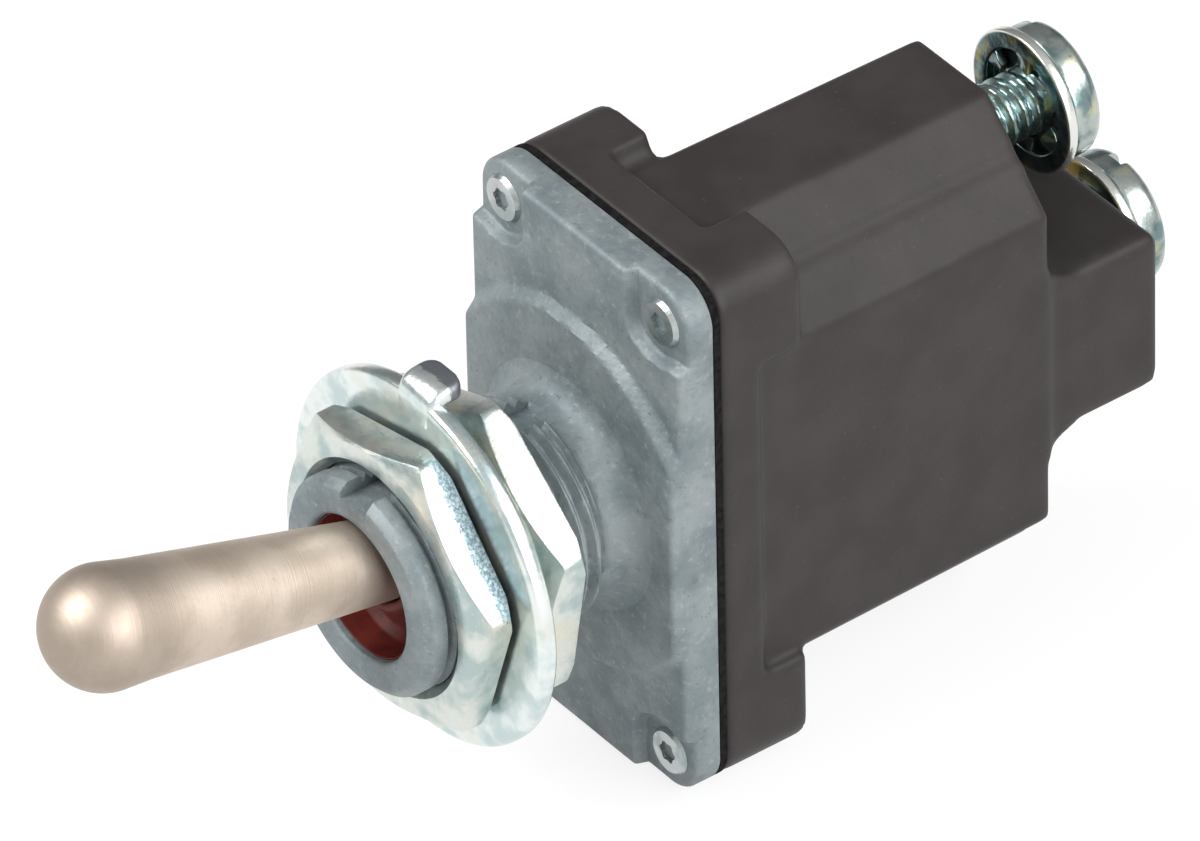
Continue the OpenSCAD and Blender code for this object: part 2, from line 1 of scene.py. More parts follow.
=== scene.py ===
"""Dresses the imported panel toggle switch: finishes, threads, relief, rounded edges, camera and studio."""
import json
import math

import bmesh
import bpy
import numpy as np
from mathutils import Matrix, Vector


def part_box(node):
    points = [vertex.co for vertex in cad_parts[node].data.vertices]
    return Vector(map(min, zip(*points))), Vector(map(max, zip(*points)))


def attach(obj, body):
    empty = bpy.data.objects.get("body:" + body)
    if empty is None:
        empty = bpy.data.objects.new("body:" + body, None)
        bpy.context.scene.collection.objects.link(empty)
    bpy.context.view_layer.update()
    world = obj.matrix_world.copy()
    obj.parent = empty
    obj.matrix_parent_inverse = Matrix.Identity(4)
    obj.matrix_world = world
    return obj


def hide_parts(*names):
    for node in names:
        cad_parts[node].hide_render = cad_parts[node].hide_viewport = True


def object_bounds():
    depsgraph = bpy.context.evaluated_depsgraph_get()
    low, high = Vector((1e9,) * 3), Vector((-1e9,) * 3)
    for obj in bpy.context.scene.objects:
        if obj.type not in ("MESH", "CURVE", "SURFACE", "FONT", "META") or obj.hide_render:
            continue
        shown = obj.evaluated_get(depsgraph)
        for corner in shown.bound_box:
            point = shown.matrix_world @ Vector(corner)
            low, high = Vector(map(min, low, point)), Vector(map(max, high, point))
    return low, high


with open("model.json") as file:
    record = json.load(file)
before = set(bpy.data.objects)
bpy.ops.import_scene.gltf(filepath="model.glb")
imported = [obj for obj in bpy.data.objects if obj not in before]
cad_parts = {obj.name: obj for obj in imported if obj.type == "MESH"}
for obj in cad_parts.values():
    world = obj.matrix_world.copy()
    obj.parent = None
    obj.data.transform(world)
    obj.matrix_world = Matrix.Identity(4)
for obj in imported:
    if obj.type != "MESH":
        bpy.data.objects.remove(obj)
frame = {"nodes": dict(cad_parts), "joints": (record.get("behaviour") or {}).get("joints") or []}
CAD_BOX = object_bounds()

MM = 0.001
TAU = 2 * math.pi


# ---------- sizes, in millimetres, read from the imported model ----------

def reach(node):
    """Lowest and highest corner of a CAD node in millimetres."""
    low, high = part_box(node)
    return np.array(low) / MM, np.array(high) / MM


JOINTS = {j["name"]: j for j in frame["joints"]}
PIVOT_Y = JOINTS["toggle"]["pos_m"][1] / MM
TILT = math.radians(JOINTS["toggle"]["range_deg"][1] / 2)
PLATE_LOW, PLATE_HIGH = reach("cover_plate")
HALF_W, HALF_H = PLATE_HIGH[0], PLATE_HIGH[2]
MOUTH_Y = PLATE_LOW[1]
PLATE_BACK = PLATE_HIGH[1]
RIVET_REACH = reach("cover_rivets")[1]
RIVET_R = 1.3
RIVET_X, RIVET_Z = RIVET_REACH[0] - RIVET_R, RIVET_REACH[2] - RIVET_R
FACE_Y = 0.6
BOSS_R = 10.3
PLATE_ROUND = 2.15
EDGE_ROUND = 0.32
POCKET_X, POCKET_Z = 4.0, HALF_H - 4.15
POCKET_ROUND = 1.5
POCKET_DEPTH = 0.65
SCALLOP_R = 2.3
WALL_SLOPE = 0.36
THREAD_R = 5.95
MOUTH_R = 3.95
BORE_R = 4.4
PITCH = 25.4 / 32
NUT_HALF = 7.5
NUT_TURN = {"front_nut": 72, "rear_nut": 80}


# ---------- surfaces ----------

def quads_between(m, n, loop):
    """Quads that join m rings of n points; the last ring meets the first if loop is set."""
    rows = np.arange(m if loop else m - 1)
    here = rows[:, None] * n + np.arange(n)[None]
    side = rows[:, None] * n + (np.arange(n)[None] + 1) % n
    over = ((rows + 1) % m)[:, None] * n
    corners = [here, side, over + (np.arange(n)[None] + 1) % n, over + np.arange(n)[None]]
    return np.stack(corners, -1).reshape(-1, 4)


def skin(rings, loop=False):
    """A closed surface through rings of points, an (m, n, 3) array.

    With loop the section closes on itself; without it each end closes on the middle of its ring.
    The faces are turned so that the volume they enclose is positive."""
    m, n = rings.shape[:2]
    points = rings.reshape(-1, 3)
    quads = quads_between(m, n, loop)
    tris = np.zeros((0, 3), int)
    if not loop:
        points = np.concatenate([points, rings[:1].mean(1), rings[-1:].mean(1)])
        i = np.arange(n)
        j = (i + 1) % n
        last = (m - 1) * n
        tris = np.concatenate([np.stack([j, i, np.full(n, m * n)], -1),
                               np.stack([last + i, last + j, np.full(n, m * n + 1)], -1)])
    fans = np.concatenate([quads[:, [0, 1, 2]], quads[:, [0, 2, 3]], tris])
    a, b, c = (points[fans[:, k]] for k in range(3))
    if np.einsum("ij,ij->i", a, np.cross(b, c)).sum() < 0:
        quads, tris = quads[:, ::-1], tris[:, ::-1]
    return points, quads, tris


def smooth_steps(points, radii, steps=3, closed=False):
    """A polyline with eased corners: each is a quadratic curve that starts and ends radius away from it."""
    p = np.asarray(points, float)
    r = np.broadcast_to(np.asarray(radii, float), (len(p),))
    before, after = np.roll(p, 1, 0) - p, np.roll(p, -1, 0) - p
    lb, la = np.linalg.norm(before, axis=1), np.linalg.norm(after, axis=1)
    cut = np.minimum(r, np.minimum(lb, la) * 0.49)[:, None]
    start, end = p + before / lb[:, None] * cut, p + after / la[:, None] * cut
    t = np.linspace(0, 1, steps + 1)[None, :, None]
    curve = (1 - t) ** 2 * start[:, None] + 2 * t * (1 - t) * p[:, None] + t ** 2 * end[:, None]
    if closed:
        return curve.reshape(-1, 2)
    return np.concatenate([p[:1], curve[1:-1].reshape(-1, 2), p[-1:]])


def spun(profile, n=180, loop=False, centre=(0.0, 0.0)):
    """A profile of [radius, y] turned about an axis along Y through centre (x, z)."""
    profile = np.asarray(profile, float)
    a = np.linspace(0, TAU, n, endpoint=False)
    r, y = profile[:, :1], profile[:, 1:]
    return skin(np.stack([centre[0] + r * np.sin(a), y + 0 * a, centre[1] + r * np.cos(a)], -1), loop)


def filleted(corners, radii, steps=8):
    """An outline through corners, anticlockwise, each rounded by a true arc.

    Gives the points and their outward normals: on an arc both lie along the line from its centre."""
    c = np.asarray(corners, float)
    r = np.broadcast_to(np.asarray(radii, float), (len(c),))[:, None]
    a, b = np.roll(c, 1, 0) - c, np.roll(c, -1, 0) - c
    a /= np.linalg.norm(a, axis=1, keepdims=True)
    b /= np.linalg.norm(b, axis=1, keepdims=True)
    half = np.arccos(np.clip((a * b).sum(1, keepdims=True), -1, 1)) / 2
    bulge = np.sign(b[:, :1] * a[:, 1:] - b[:, 1:] * a[:, :1])
    middle = c + (a + b) / np.linalg.norm(a + b, axis=1, keepdims=True) * r / np.sin(half)
    start = c + a * r / np.tan(half) - middle
    sweep = (math.pi - 2 * half) * bulge
    t = np.linspace(0, 1, steps + 1)[None]
    angle = sweep * t
    x = start[:, :1] * np.cos(angle) - start[:, 1:] * np.sin(angle)
    z = start[:, :1] * np.sin(angle) + start[:, 1:] * np.cos(angle)
    arcs = np.stack([x, z], -1)
    normals = arcs / r[:, :, None] * bulge[:, :, None]
    return (middle[:, None] + arcs).reshape(-1, 2), normals.reshape(-1, 2)


def swept(outline, profile):
    """A profile of [outset, y] carried round an outline; the outset moves each point along its normal."""
    points, normals = outline
    profile = np.asarray(profile, float)
    flat = points[None] + normals[None] * profile[:, None, :1]
    y = np.broadcast_to(profile[:, None, 1:], flat.shape[:2] + (1,))
    return skin(np.concatenate([flat[..., :1], y, flat[..., 1:]], -1))


def thread_depth(along, turn, pitch, depth, crest=0.12, root=0.12):
    """How far a thread's surface lies below its crest: a wave of straight flanks along the axis,
    shifted by one pitch for each turn, with a flat crest and root."""
    wave = np.abs(2 * ((along / pitch - turn / TAU) % 1.0) - 1)
    return depth * np.clip((wave - crest) / (1 - crest - root), 0, 1)


def turned(surface, turn):
    """The surface with every point passed through turn, a 3 by 3 matrix and an offset."""
    points, quads, tris = surface
    matrix, offset = turn
    return points @ np.asarray(matrix).T + np.asarray(offset), quads, tris


def piece(name, body, surfaces, finish, hides=(), crease=38):
    """One object made of closed surfaces in millimetres, shaded smooth up to the crease angle."""
    points, loops, sizes, base = [], [], [], 0
    for p, quads, tris in surfaces:
        points.append(p)
        loops += [(quads + base).ravel(), (tris + base).ravel()]
        sizes += [np.full(len(quads), 4), np.full(len(tris), 3)]
        base += len(p)
    points, loops, sizes = np.concatenate(points) * MM, np.concatenate(loops), np.concatenate(sizes)
    mesh = bpy.data.meshes.new(name)
    mesh.vertices.add(len(points))
    mesh.vertices.foreach_set("co", points.ravel())
    mesh.loops.add(len(loops))
    mesh.loops.foreach_set("vertex_index", loops.astype(np.int32))
    mesh.polygons.add(len(sizes))
    mesh.polygons.foreach_set("loop_start", np.concatenate([[0], np.cumsum(sizes)[:-1]]).astype(np.int32))
    mesh.polygons.foreach_set("use_smooth", np.ones(len(sizes), bool))
    mesh.update(calc_edges=True)
    mesh.validate()
    mesh.set_sharp_from_angle(angle=math.radians(crease))
    obj = bpy.data.objects.new(name, mesh)
    bpy.context.scene.collection.objects.link(obj)
    mesh.materials.append(finish)
    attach(obj, body)
    if hides:
        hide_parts(*hides)
    return obj


# ---------- finishes ----------

class Flow:
    """A shader value or colour that Python expressions can work with."""

    def __init__(self, tree, socket):
        self.tree, self.socket = tree, socket

    def _sum(self, kind, *values):
        node = self.tree.nodes.new("ShaderNodeMath")
        node.operation = kind
        for slot, value in zip(node.inputs, values):
            plug(self.tree, slot, value)
        return Flow(self.tree, node.outputs[0])

    def __add__(self, o): return self._sum("ADD", self, o)
    def __radd__(self, o): return self._sum("ADD", o, self)
    def __sub__(self, o): return self._sum("SUBTRACT", self, o)
    def __rsub__(self, o): return self._sum("SUBTRACT", o, self)
    def __mul__(self, o): return self._sum("MULTIPLY", self, o)
    def __rmul__(self, o): return self._sum("MULTIPLY", o, self)
    def __pow__(self, o): return self._sum("POWER", self, o)
    def most(self, o): return self._sum("MAXIMUM", self, o)

    def ramp(self, low, high):
        """0 below low, 1 above high, eased between."""
        node = self.tree.nodes.new("ShaderNodeMapRange")
        node.interpolation_type = "SMOOTHSTEP"
        for name, value in (("Value", self), ("From Min", low), ("From Max", high)):
            plug(self.tree, node.inputs[name], value)
        return Flow(self.tree, node.outputs["Result"])


def plug(tree, socket, value):
    """Sets a socket, or links it if value is a Flow."""
    if isinstance(value, Flow):
        tree.links.new(value.socket, socket)
    elif isinstance(value, tuple) and len(value) == 3 and socket.type == "RGBA":
        socket.default_value = (*value, 1.0)
    else:
        socket.default_value = value


class Finish:
    """One procedural material on a Principled shader, read from Object coordinates in millimetres."""

    def __init__(self, name, metallic=0.0, roughness=0.5, **fixed):
        self.material = bpy.data.materials.new(name)
        self.material.use_nodes = True
        self.tree = self.material.node_tree
        self.shader = self.tree.nodes["Principled BSDF"]
        for key, value in {"Metallic": metallic, "Roughness": roughness, **fixed}.items():
            plug(self.tree, self.shader.inputs[key.replace("_", " ")], value)
        place = self.node("ShaderNodeTexCoord", {})("Object")
        grow = {"operation": "SCALE"}
        self.place = self.node("ShaderNodeVectorMath", grow, Vector=place, Scale=1 / MM)("Vector")
        split = self.node("ShaderNodeSeparateXYZ", {}, Vector=self.place)
        self.x, self.y, self.z = split("X"), split("Y"), split("Z")

    def node(self, kind, settings, **inputs):
        """Adds a node: its settings first, then its sockets. The result is called with an output's name."""
        node = self.tree.nodes.new(kind)
        for key, value in settings.items():
            setattr(node, key, value)
        for key, value in inputs.items():
            plug(self.tree, node.inputs[key.replace("_", " ")], value)
        return lambda output: Flow(self.tree, node.outputs[output])

    def moved(self, kind, place, by):
        """A place multiplied by, or added to, a constant vector."""
        node = self.tree.nodes.new("ShaderNodeVectorMath")
        node.operation = kind
        plug(self.tree, node.inputs[0], place)
        node.inputs[1].default_value = by
        return Flow(self.tree, node.outputs["Vector"])

    def noise(self, scale, detail=3.0, rough=0.5, stretch=None, seed=0.0):
        """Cloudy noise, about 0.3 to 0.7, with one lump per 1/scale millimetres."""
        at = self.place
        if stretch:
            at = self.moved("MULTIPLY", at, stretch)
        if seed:
            at = self.moved("ADD", at, (seed, seed * 1.7, seed * 2.3))
        return self.node("ShaderNodeTexNoise", {"noise_dimensions": "3D"}, Vector=at, Scale=scale,
                         Detail=detail, Roughness=rough)("Fac")

    def blend(self, amount, low, high):
        """Mixes two colours by amount."""
        node = self.tree.nodes.new("ShaderNodeMix")
        node.data_type = "RGBA"
        colours = [s for s in node.inputs if s.type == "RGBA"]
        plug(self.tree, node.inputs[0], amount)
        plug(self.tree, colours[0], low)
        plug(self.tree, colours[1], high)
        return Flow(self.tree, [s for s in node.outputs if s.type == "RGBA"][0])

    def colour(self, value):
        plug(self.tree, self.shader.inputs["Base Color"], value)

    def roughness(self, value):
        plug(self.tree, self.shader.inputs["Roughness"], value)

    def relief(self, height, depth, soft_edges=0.0):
        """Bumps of height times depth millimetres, over edges rounded by soft_edges millimetres."""
        inputs = {"Height": height, "Strength": 1.0, "Distance": depth * MM}
        if soft_edges:
            inputs["Normal"] = self.node("ShaderNodeBevel", {"samples": 6}, Radius=soft_edges * MM)("Normal")
        plug(self.tree, self.shader.inputs["Normal"], self.node("ShaderNodeBump", {}, **inputs)("Normal"))


def die_cast_zinc():
    """Dull blue-grey cast zinc: cloudy flow marks, painted light towards the left side, pale flecks, dark
    pits and a fine pebbled skin.
    """
    f = Finish("die_cast_zinc", metallic=0.55, Specular_IOR_Level=0.3)
    cloud, fleck = f.noise(0.26, 5, 0.66), f.noise(2.4, 5, 0.65, seed=3.0)
    base = f.blend(cloud.ramp(0.34, 0.66), (0.135, 0.165, 0.175), (0.215, 0.242, 0.248))
    # Painted light: the casting turns lighter towards its left side (-x).
    base = f.blend((f.x * -1).ramp(3.0, 10.0) * 0.4, base, (0.3, 0.33, 0.335))
    pale = f.blend(fleck.ramp(0.53, 0.74) * 0.42, base, (0.37, 0.39, 0.385))
    pits = f.noise(3.4, 3, 0.6, seed=13.0).ramp(0.66, 0.74)
    f.colour(f.blend(pits * 0.6 + (1 - fleck.ramp(0.3, 0.42)) * 0.35, pale, (0.07, 0.08, 0.085)))
    f.roughness(0.52 + fleck * 0.22)
    f.relief(f.noise(3.0, 4, 0.65, seed=9.0) - pits * 0.3, 0.045)
    return f.material


def zinc_plate(name, pale, deep, warm, shine=0.2, frost_y=None, bare_y=None):
    """Bright zinc plate on steel with faint yellow and green tints and drawn streaks.

    If frost_y is given, the back part of the front nut's right flat is granular and blue-grey.
    If bare_y is given, the tab behind it has lost its plate. Noise moves both borders forward by
    about half its own size and leaves them ragged."""
    f = Finish(name, metallic=0.95)
    cloud, grain = f.noise(0.5, 3, 0.55), f.noise(1.6, 5, 0.7, seed=5.0, stretch=(1.0, 3.5, 1.0))
    base = f.blend(cloud.ramp(0.36, 0.6), deep, pale)
    base = f.blend(f.noise(0.28, 2, 0.5, seed=11.0).ramp(0.52, 0.68) * 0.45, base, warm)
    base = f.blend(grain.ramp(0.55, 0.75) * 0.4, base, (0.85, 0.87, 0.85))
    rough = grain * 0.2 + shine
    bumps = f.noise(4.0, 4, 0.6, seed=2.0)
    if frost_y is not None:
        crystal = f.noise(6.0, 4, 0.75, seed=15.0)
        flat_turn = math.radians(NUT_TURN["front_nut"] - 30)
        height = f.x * math.cos(flat_turn) + f.z * math.sin(flat_turn)
        on_flat = height.ramp(NUT_HALF - 0.2, NUT_HALF - 0.08)
        ragged = f.noise(1.3, 4, 0.7, seed=12.0) * 1.6
        frost = (f.y + ragged).ramp(frost_y, frost_y + 0.2) * on_flat
        frosted = f.blend(crystal.ramp(0.42, 0.62), (0.15, 0.22, 0.25), (0.44, 0.52, 0.55))
        base = f.blend(frost, base, frosted)
        rough = rough + frost * 0.15
        bumps = bumps + frost * crystal * 2.0
    if bare_y is not None:
        ragged = f.noise(2.5, 3, 0.6, seed=14.0) * 0.5
        bare = (f.y + ragged).ramp(bare_y, bare_y + 0.1)
        base = f.blend(bare, base, (0.19, 0.2, 0.22))
        rough = rough + bare * 0.25
    f.colour(base)
    f.roughness(rough)
    f.relief(bumps, 0.018)
    return f.material


def satin_nickel():
    """Warm satin nickel with fine marks of turning round the lever's axis, faint scuffs and painted shade
    that darkens the ball end.
    """
    f = Finish("satin_nickel", metallic=0.9)
    along = f.y * -math.cos(TILT) + f.z * math.sin(TILT)
    line = f.node("ShaderNodeTexNoise", {"noise_dimensions": "1D"}, W=along, Scale=9.0, Detail=4.0)("Fac")
    cloud, grain = f.noise(0.4, 3, 0.5), f.noise(3.5, 5, 0.7, seed=8.0)
    base = f.blend(cloud.ramp(0.35, 0.65), (0.45, 0.375, 0.305), (0.55, 0.465, 0.39))
    base = f.blend(line.ramp(0.4, 0.7) * 0.2, base, (0.56, 0.5, 0.44))
    # Painted shade: the base colour darkens towards the ball end to dim the lamps' highlights there.
    tip = -reach("toggle_lever")[0][1]
    tip_painted_shade = along.ramp(tip - 7.5, tip - 3.5) * 0.55
    base = f.blend(tip_painted_shade, base, (0.26, 0.215, 0.175))
    f.colour(f.blend(grain.ramp(0.56, 0.72) * 0.3, base, (0.3, 0.25, 0.21)))
    f.roughness(0.44 + grain * 0.16)
    f.relief(line + grain * 0.7, 0.008)
    return f.material


def brown_phenolic():
    """Dark brown moulded phenolic: faint flow clouds, a light orange-peel skin and pale dust specks."""
    f = Finish("brown_phenolic", Specular_IOR_Level=0.2)
    cloud, dust = f.noise(0.3, 3, 0.55), f.noise(7.0, 2, 0.5, seed=4.0)
    base = f.blend(cloud.ramp(0.3, 0.7), (0.021, 0.018, 0.0175), (0.027, 0.0235, 0.023))
    f.colour(f.blend(dust.ramp(0.71, 0.76) * 0.2, base, (0.2, 0.18, 0.17)))
    f.roughness(0.42 + cloud * 0.05)
    f.relief(f.noise(2.6, 3, 0.5, seed=7.0), 0.012, soft_edges=0.2)
    return f.material


def red_rubber():
    """Dark brick-red rubber in a soft cloud of two reds."""
    f = Finish("red_rubber", roughness=0.5, Specular_IOR_Level=0.2)
    cloud = f.noise(0.9, 3)
    f.colour(f.blend(cloud.ramp(0.35, 0.65), (0.06, 0.006, 0.004), (0.1, 0.012, 0.007)))
    f.relief(f.noise(5.0, 3), 0.012)
    return f.material


def black_gasket():
    """Matt black gasket sheet."""
    f = Finish("black_gasket", roughness=0.9, Specular_IOR_Level=0.08)
    f.colour(f.blend(f.noise(3.0).ramp(0.3, 0.7), (0.003, 0.003, 0.003), (0.01, 0.009, 0.009)))
    f.relief(f.noise(6.0), 0.02)
    return f.material


def terminal_plate(name, under):
    """Passivated screw plating: grey-teal clouds with pale and yellow patches, and painted shade that darkens
    the shank.
    """
    f = Finish(name, metallic=0.95)
    cloud, tint = f.noise(0.55, 3, 0.5), f.noise(0.8, 2, 0.5, seed=6.0)
    base = f.blend(cloud.ramp(0.38, 0.56), (0.17, 0.24, 0.245), (0.42, 0.47, 0.445))
    base = f.blend(tint.ramp(0.54, 0.68) * 0.5, base, (0.6, 0.57, 0.34))
    # Painted shade: the shank, in the shadow between the head and the housing, gets a darker colour.
    shank = f.blend(cloud.ramp(0.35, 0.65), (0.13, 0.2, 0.2), (0.3, 0.4, 0.4))
    shank_shade_mask = (f.y * -1).ramp(-under - 0.05, -under + 0.05)
    f.colour(f.blend(shank_shade_mask, base, shank))
    f.roughness(0.16 + tint * 0.18)
    f.relief(f.noise(4.0, 4), 0.012)
    return f.material


def washer_plate(name, centre, outer):
    """Dark teal plating with yellow and violet patches that turns bright at the washer's rim."""
    f = Finish(name, metallic=0.95)
    cloud, tint = f.noise(0.9, 3, 0.55), f.noise(0.7, 2, 0.5, seed=6.0)
    base = f.blend(cloud.ramp(0.36, 0.6), (0.045, 0.085, 0.09), (0.15, 0.22, 0.22))
    base = f.blend(tint.ramp(0.52, 0.62) * 0.7, base, (0.3, 0.27, 0.1))
    radius = ((f.x - centre[0]) ** 2 + (f.z - centre[1]) ** 2) ** 0.5
    f.colour(f.blend(radius.ramp(outer - 0.2, outer - 0.06), base, (0.7, 0.72, 0.68)))
    f.roughness(0.14 + tint * 0.15)
    f.relief(f.noise(4.0, 4), 0.012)
    return f.material


def worn_brass():
    """Yellow brass with a light brown bloom."""
    f = Finish("brass", metallic=0.95)
    f.colour(f.blend(f.noise(0.6).ramp(0.35, 0.65), (0.5, 0.36, 0.14), (0.68, 0.52, 0.24)))
    f.roughness(0.3 + f.noise(1.5) * 0.15)
    f.relief(f.noise(4.0), 0.01)
    return f.material


def plain_metal(name, low, high):
    """A clouded bright metal between two shades."""
    f = Finish(name, metallic=0.95)
    f.colour(f.blend(f.noise(0.8).ramp(0.35, 0.65), low, high))
    f.roughness(0.25 + f.noise(2.0) * 0.15)
    f.relief(f.noise(4.0), 0.008)
    return f.material


def pale_nylon():
    """Cream nylon with a soft cloud."""
    f = Finish("nylon", roughness=0.45)
    f.colour(f.blend(f.noise(0.7).ramp(0.35, 0.65), (0.62, 0.58, 0.48), (0.7, 0.67, 0.58)))
    f.relief(f.noise(3.0), 0.01)
    return f.material


CAST, NICKEL, PHENOLIC = die_cast_zinc(), satin_nickel(), brown_phenolic()
PALE, DEEP, WARM = (0.64, 0.67, 0.63), (0.4, 0.49, 0.48), (0.68, 0.63, 0.46)
PLATED = zinc_plate("zinc_plate", PALE, DEEP, WARM)
FROSTED = zinc_plate("frosted_zinc_plate", PALE, DEEP, WARM, frost_y=reach("front_nut")[0][1] + 2.0)
RUBBER, GASKET, BRASS = red_rubber(), black_gasket(), worn_brass()
RIVET = zinc_plate("rivet_plate", (0.5, 0.53, 0.53), (0.3, 0.35, 0.36), (0.4, 0.41, 0.38))
RING = zinc_plate("ring_plate", (0.74, 0.79, 0.775), (0.5, 0.6, 0.6), (0.7, 0.69, 0.6), shine=0.13,
                  bare_y=reach("key_ring")[0][1] * 0.42 + reach("key_ring")[1][1] * 0.58 + 0.2)
STEEL = plain_metal("spring_steel", (0.3, 0.3, 0.31), (0.42, 0.42, 0.44))
SILVER = plain_metal("contact_silver", (0.7, 0.7, 0.7), (0.82, 0.82, 0.83))
NYLON = pale_nylon()

CAD_FINISHES = {"housing": PHENOLIC, "gasket": GASKET, "cover_rivets": RIVET, "pivot_pin": STEEL,
                "plunger": NYLON, "plunger_spring": STEEL, "rocker": BRASS, "rocker_contacts": SILVER,
                "rocker_pin": STEEL, "common_terminal": BRASS, "top_terminal": BRASS,
                "fixed_contacts": SILVER}
for node_name, finish in CAD_FINISHES.items():
    node_object = frame["nodes"][node_name]
    node_object.data.materials.clear()
    node_object.data.materials.append(finish)


# ---------- housing ----------

def moulded_housing():
    """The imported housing's own surface with its edges eased as a mould leaves them.

    A merged copy, with its closed front cavity filled by two blocks, is remeshed into small even faces.
    Every point then relaxes towards the middle of its neighbours, which rounds only the edges."""
    fill_front, fill_back = 3.5, 21.5
    shape = bmesh.new()
    shape.from_mesh(frame["nodes"]["housing"].data)
    bmesh.ops.remove_doubles(shape, verts=shape.verts, dist=2e-6)
    for half_x, half_z in ((5.6, 9.6), (3.2, 12.4)):
        low, high = Vector((-half_x, fill_front, -half_z)) * MM, Vector((half_x, fill_back, half_z)) * MM
        place = Matrix.Translation((high + low) / 2) @ Matrix.Diagonal((*(high - low), 1))
        bmesh.ops.create_cube(shape, size=1, matrix=place)
    mesh = bpy.data.meshes.new("housing_moulding")
    shape.to_mesh(mesh)
    shape.free()
    moulding = bpy.data.objects.new("housing_moulding", mesh)
    bpy.context.scene.collection.objects.link(moulding)
    grain = moulding.modifiers.new("even_faces", "REMESH")
    grain.mode, grain.voxel_size = "VOXEL", 0.21 * MM
    ease = moulding.modifiers.new("eased_edges", "SMOOTH")
    ease.factor, ease.iterations = 0.5, 9
    graph = bpy.context.evaluated_depsgraph_get()
    moulding.data = bpy.data.meshes.new_from_object(moulding.evaluated_get(graph), depsgraph=graph)
    moulding.modifiers.clear()
    moulding.data.polygons.foreach_set("use_smooth", np.ones(len(moulding.data.polygons), bool))
    moulding.data.materials.clear()
    moulding.data.materials.append(PHENOLIC)
    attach(moulding, "base")
    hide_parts("housing")


moulded_housing()


# ---------- cover plate and bushing ----------

def bushing_ring(r, y, top_x, share):
    """Points of the rings round the bushing: by top_x across the keyway, by share of the turn elsewhere.

    Between the keyway's walls the height is held at the keyway's floor in front of its end."""
    key_half, key_floor, key_end = 1.05, THREAD_R - 0.9, -1.5
    edge = np.arcsin(np.clip(top_x[-1] / r[..., -1:], -1, 1))
    angle = np.concatenate([np.arcsin(np.clip(top_x / r[..., :len(top_x)], -1, 1)),
                            edge + share * (TAU - 2 * edge)], -1)
    x, z = r * np.sin(angle), r * np.cos(angle)
    in_key = (np.abs(x) < key_half - 1e-6) & (z > key_floor) & (y < key_end)
    return np.stack([x, y + 0 * x, np.where(in_key, key_floor, z)], -1)


def threaded_bushing():
    """The bushing as one closed skin: a section that runs from its foot along the thread, over the
    smooth front band and chamfer, round the mouth and back down the bore.

    The thread sinks the radius, and towards the foot its turns fade into the neck."""
    beside_key = np.array([1.04, 1.05, 1.07, 1.4, 1.8])
    top_x = np.concatenate([-beside_key[::-1], np.linspace(-0.9, 0.9, 7), beside_key])
    share = np.linspace(0, 1, 240)[1:-1]
    edge = math.asin(beside_key[-1] / THREAD_R)
    turn = np.concatenate([np.arcsin(top_x / THREAD_R), edge + share * (TAU - 2 * edge)])
    foot = np.array([[6.85, 0.3], [6.85, 0.02], [6.55, -0.03], [6.1, -0.22],
                     [5.72, -0.55], [5.5, -1.0], [5.46, -1.5], [5.46, -1.75]])
    rows = np.linspace(-1.8, -11.5, 170)
    thread_deep, fade_end, fade_long = 0.48, -2.3, 0.5
    front = smooth_steps([[5.5, -11.55], [5.5, -11.72], [5.93, -11.85], [5.93, -12.6], [5.5, MOUTH_Y + 0.02],
                          [5.3, MOUTH_Y], [4.2, MOUTH_Y], [4.05, MOUTH_Y + 0.05], [MOUTH_R, MOUTH_Y + 0.2],
                          [MOUTH_R, -10.95], [BORE_R, -10.9], [BORE_R, 0.3]], 0.06, 2)
    thread = thread_depth(rows[:, None], turn[None], PITCH, thread_deep)
    neck = 0.46 * eased((rows[:, None] - fade_end) / fade_long)
    r = np.concatenate([np.repeat(foot[:, :1], len(turn), 1), THREAD_R - np.maximum(thread, neck),
                        np.repeat(front[:, :1], len(turn), 1)])
    y = np.concatenate([foot[:, 1], rows, front[:, 1]])[:, None]
    return skin(bushing_ring(r, y, top_x, share), loop=True)


def graded(half, walls, step=0.22, fine=0.055, width=0.32):
    """Grid lines from -half to half: a step apart, and closer round each wall and its mirror image."""
    t = np.linspace(-half, half, 4001)
    near = sum(np.exp(-((np.abs(t) - wall) / width) ** 2) for wall in walls)
    count = np.cumsum(1 / step + near / fine) * (t[1] - t[0])
    return np.interp(np.linspace(count[0], count[-1], int(count[-1])), count, t)


def round_corners(x, z, w, h, r):
    """Moves a rectangle's grid onto one with round corners: each corner square becomes a quarter disc."""
    p, q = np.clip((np.abs(x) - w + r) / r, 0, 1), np.clip((np.abs(z) - h + r) / r, 0, 1)
    corner = (p > 0) & (q > 0)
    return (np.where(corner, np.sign(x) * (w - r + r * p * np.sqrt(1 - q * q / 2)), x),
            np.where(corner, np.sign(z) * (h - r + r * q * np.sqrt(1 - p * p / 2)), z))


def eased(t):
    """0 below 0, 1 above 1, and smooth between."""
    t = np.clip(t, 0, 1)
    return t * t * (3 - 2 * t)


